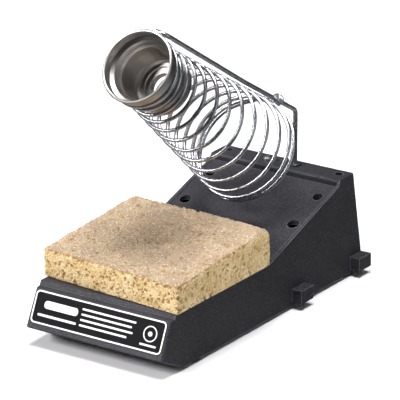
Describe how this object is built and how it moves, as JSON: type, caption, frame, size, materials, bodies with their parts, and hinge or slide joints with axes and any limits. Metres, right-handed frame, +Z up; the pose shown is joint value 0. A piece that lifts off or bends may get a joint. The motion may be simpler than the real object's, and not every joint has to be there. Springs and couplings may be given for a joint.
{
  "type": "soldering iron stand",
  "caption": "Bench stand for a soldering iron: wedge-shaped moulded base with a sponge over a water well and a conical wire coil holder with a funnel mouth on a bent rod.",
  "frame": {"origin": "middle of the whole stand's bounding box, on the bench under the feet", "axes": "+Z up, front panel faces -Y, the hooks are on the +X side"},
  "size_m": [0.0968, 0.1984, 0.1707],
  "materials": {
    "moulding": "fine matt texture, dark charcoal, static-dissipative",
    "label": "smooth black plate with a pale printed border and plain marks",
    "ballast_steel": "black powder coat",
    "screw_steel": "zinc plated",
    "foot_rubber": "matt black",
    "bush_plastic": "smooth black nylon",
    "sponge": "dry cellulose sponge, tan, open pores",
    "spun_steel": "turned stainless, fine circular lines, bright rim",
    "wire": "bright nickel plate"
  },
  "bodies": {
    "base": {"base_shell": "moulding", "label_plate": "label", "ballast_plate": "ballast_steel", "ballast_screws": "screw_steel", "foot_front_left": "foot_rubber", "foot_front_right": "foot_rubber", "foot_rear_left": "foot_rubber", "foot_rear_right": "foot_rubber", "rod_bush": "bush_plastic", "clamp_plate": "screw_steel", "clamp_screw": "screw_steel", "clamp_washer": "screw_steel", "clamp_nut": "screw_steel"},
    "holder": {"support_rod": "wire", "coil_spring": "wire", "funnel_cup": "spun_steel", "funnel_insert": "spun_steel"},
    "sponge_block": {"sponge": "sponge"}
  },
  "joints": [
    {"name": "holder_swivel", "type": "hinge", "parent": "base", "child": "holder", "pos_m": [0.006, 0.0832, 0.06], "axis": [0, 0, 1], "range_deg": [-35, 35]},
    {"name": "sponge_lift", "type": "slide", "parent": "base", "child": "sponge_block", "axis": [0, -0.9397, 0.342], "range_m": [0, 0.08]}
  ]
}
